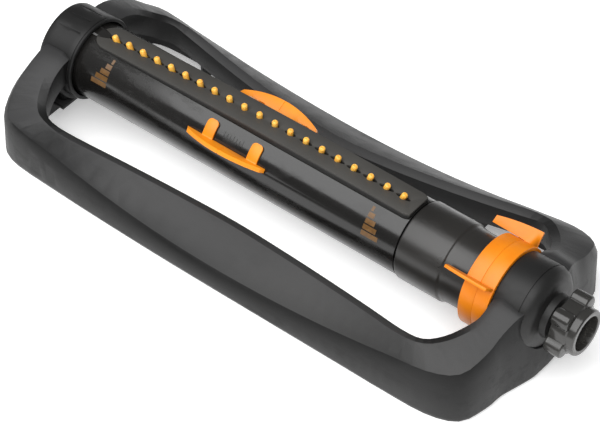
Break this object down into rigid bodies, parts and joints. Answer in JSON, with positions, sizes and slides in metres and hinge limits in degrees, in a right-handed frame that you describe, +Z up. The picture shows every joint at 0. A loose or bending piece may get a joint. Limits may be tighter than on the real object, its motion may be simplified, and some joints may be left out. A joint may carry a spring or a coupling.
{
  "type": "oscillating sprinkler",
  "caption": "Oscillating lawn sprinkler: hollow base frame, swinging spray tube with a row of nozzles, width sliders, range tabs and a swivel hose inlet.",
  "frame": {"origin": "on the ground, under the middle of the whole object", "axes": "+X along the spray tube towards the hose inlet, -Y the front, +Z up"},
  "size_m": [0.436, 0.1702, 0.0814],
  "materials": {
    "frame_plastic": "moulded, fine grain",
    "hub_plastic": "moulded, satin",
    "tube_plastic": "smooth, glossy",
    "motor_plastic": "smooth, satin",
    "deck_plastic": "fine grain",
    "nozzle_rubber": "soft, amber",
    "control_orange": "satin",
    "ring_orange": "satin",
    "coupling_plastic": "glossy",
    "stem_plastic": "moulded",
    "bearing_plastic": "acetal",
    "gear_plastic": "acetal",
    "seal_rubber": "smooth",
    "filter_plastic": "fine mesh",
    "screw_steel": "plain",
    "spring_steel": "plain"
  },
  "bodies": {
    "base": {"base_frame": "frame_plastic", "left_hub_cover": "hub_plastic", "right_hub_cover": "hub_plastic", "hub_screws": "screw_steel", "end_bearing": "bearing_plastic", "inlet_stem": "stem_plastic", "stem_seal": "seal_rubber", "coupling_clip": "spring_steel", "sun_gear": "gear_plastic"},
    "spray": {"spray_tube": "tube_plastic", "nozzle_deck": "deck_plastic", "nozzles": "nozzle_rubber", "water_channel": "stem_plastic", "tube_end_plug": "stem_plastic", "plug_seal": "seal_rubber", "motor_housing": "motor_plastic", "motor_plate": "stem_plastic", "gear_plate": "bearing_plastic", "gear_pins": "screw_steel", "toggle_spring": "spring_steel"},
    "front_slider": {"front_width_slider": "control_orange", "front_shutter": "bearing_plastic"},
    "rear_slider": {"rear_width_slider": "control_orange", "rear_shutter": "bearing_plastic"},
    "front_ring": {"front_range_ring": "ring_orange"},
    "rear_ring": {"rear_range_ring": "ring_orange"},
    "coupling": {"hose_coupling": "coupling_plastic", "coupling_washer": "seal_rubber", "inlet_filter": "filter_plastic"},
    "turbine": {"turbine_rotor": "gear_plastic"},
    "reduction": {"reduction_gear": "gear_plastic"},
    "output": {"output_gear": "gear_plastic"},
    "lever": {"reversing_lever": "gear_plastic", "lever_shaft": "screw_steel", "jet_diverter": "gear_plastic"}
  },
  "joints": [
    {"name": "spray_swing", "type": "hinge", "parent": "base", "child": "spray", "pos_m": [0, 0, 0.047], "axis": [1, 0, 0], "range_deg": [-50, 50]},
    {"name": "front_slider_slide", "type": "slide", "parent": "spray", "child": "front_slider", "axis": [1, 0, 0], "range_m": [-0.015, 0.015]},
    {"name": "rear_slider_slide", "type": "slide", "parent": "spray", "child": "rear_slider", "axis": [1, 0, 0], "range_m": [-0.015, 0.015]},
    {"name": "front_range_turn", "type": "hinge", "parent": "base", "child": "front_ring", "pos_m": [0.147, 0, 0.047], "axis": [1, 0, 0], "range_deg": [-40, 20]},
    {"name": "rear_range_turn", "type": "hinge", "parent": "base", "child": "rear_ring", "pos_m": [0.157, 0, 0.047], "axis": [1, 0, 0], "range_deg": [-20, 40]},
    {"name": "coupling_swivel", "type": "hinge", "parent": "base", "child": "coupling", "pos_m": [0.208, 0, 0.047], "axis": [1, 0, 0], "continuous": true},
    {"name": "output_spin", "type": "hinge", "parent": "spray", "child": "output", "pos_m": [0.12, 0, 0.035], "axis": [1, 0, 0], "range_deg": [-80, 80]},
    {"name": "reduction_spin", "type": "hinge", "parent": "spray", "child": "reduction", "pos_m": [0.115, 0.01326, 0.04396], "axis": [1, 0, 0], "range_deg": [-240, 240]},
    {"name": "turbine_spin", "type": "hinge", "parent": "spray", "child": "turbine", "pos_m": [0.105, 0, 0.047], "axis": [1, 0, 0], "range_deg": [-575, 575]},
    {"name": "lever_trip", "type": "hinge", "parent": "spray", "child": "lever", "pos_m": [0.144, 0, 0.061], "axis": [1, 0, 0], "range_deg": [-20, 0]}
  ],
  "couplings": [
    {"joint": "output_spin", "follows": "spray_swing", "ratio": 1.5},
    {"joint": "reduction_spin", "follows": "spray_swing", "ratio": -4.5},
    {"joint": "turbine_spin", "follows": "spray_swing", "ratio": 10.8}
  ]
}
